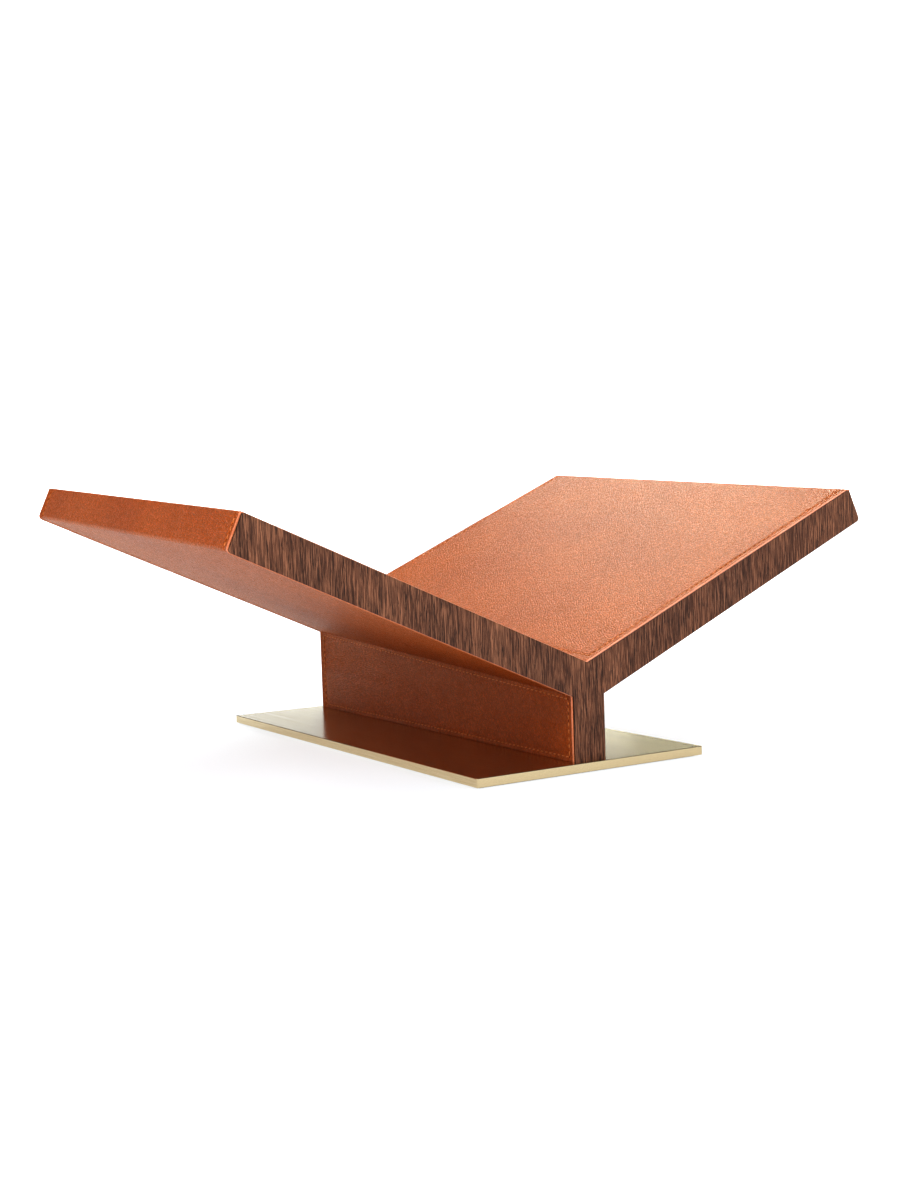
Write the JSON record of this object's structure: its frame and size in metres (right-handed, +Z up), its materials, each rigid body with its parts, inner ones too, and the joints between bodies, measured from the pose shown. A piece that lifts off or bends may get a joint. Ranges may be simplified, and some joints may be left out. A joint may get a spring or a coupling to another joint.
{
  "type": "photo album stand",
  "caption": "Open V-shaped cradle of leather-wrapped boards with walnut ends, on an upright stem and a flat brass base plate, for displaying an open photo album.",
  "frame": {"origin": "middle of the underside of the base felt, on the table", "axes": "+X across the wings, +Y from the low front end to the high rear end, +Z up"},
  "size_m": [0.4992, 0.379, 0.1999],
  "materials": {
    "brushed_brass": "satin, brushed along the plate's depth",
    "felt": "pressed wool felt",
    "steel": "zinc-plated",
    "insert_brass": "turned",
    "core_board": "sanded birch board",
    "beech": "sanded beech",
    "walnut": "oiled walnut, upright grain",
    "saddle_leather": "pebbled tan hide, soft sheen",
    "stitching": "waxed thread"
  },
  "bodies": {
    "root": {"base_felt": "felt", "base_plate": "brushed_brass", "plate_screws": "steel", "stem_inserts": "insert_brass", "stem_core": "core_board", "left_wing_core": "core_board", "right_wing_core": "core_board", "stem_dowels": "beech", "mitre_biscuits": "beech", "front_walnut_end": "walnut", "rear_walnut_end": "walnut", "left_wing_leather": "saddle_leather", "right_wing_leather": "saddle_leather", "left_stem_leather": "saddle_leather", "right_stem_leather": "saddle_leather"}
  },
  "joints": []
}
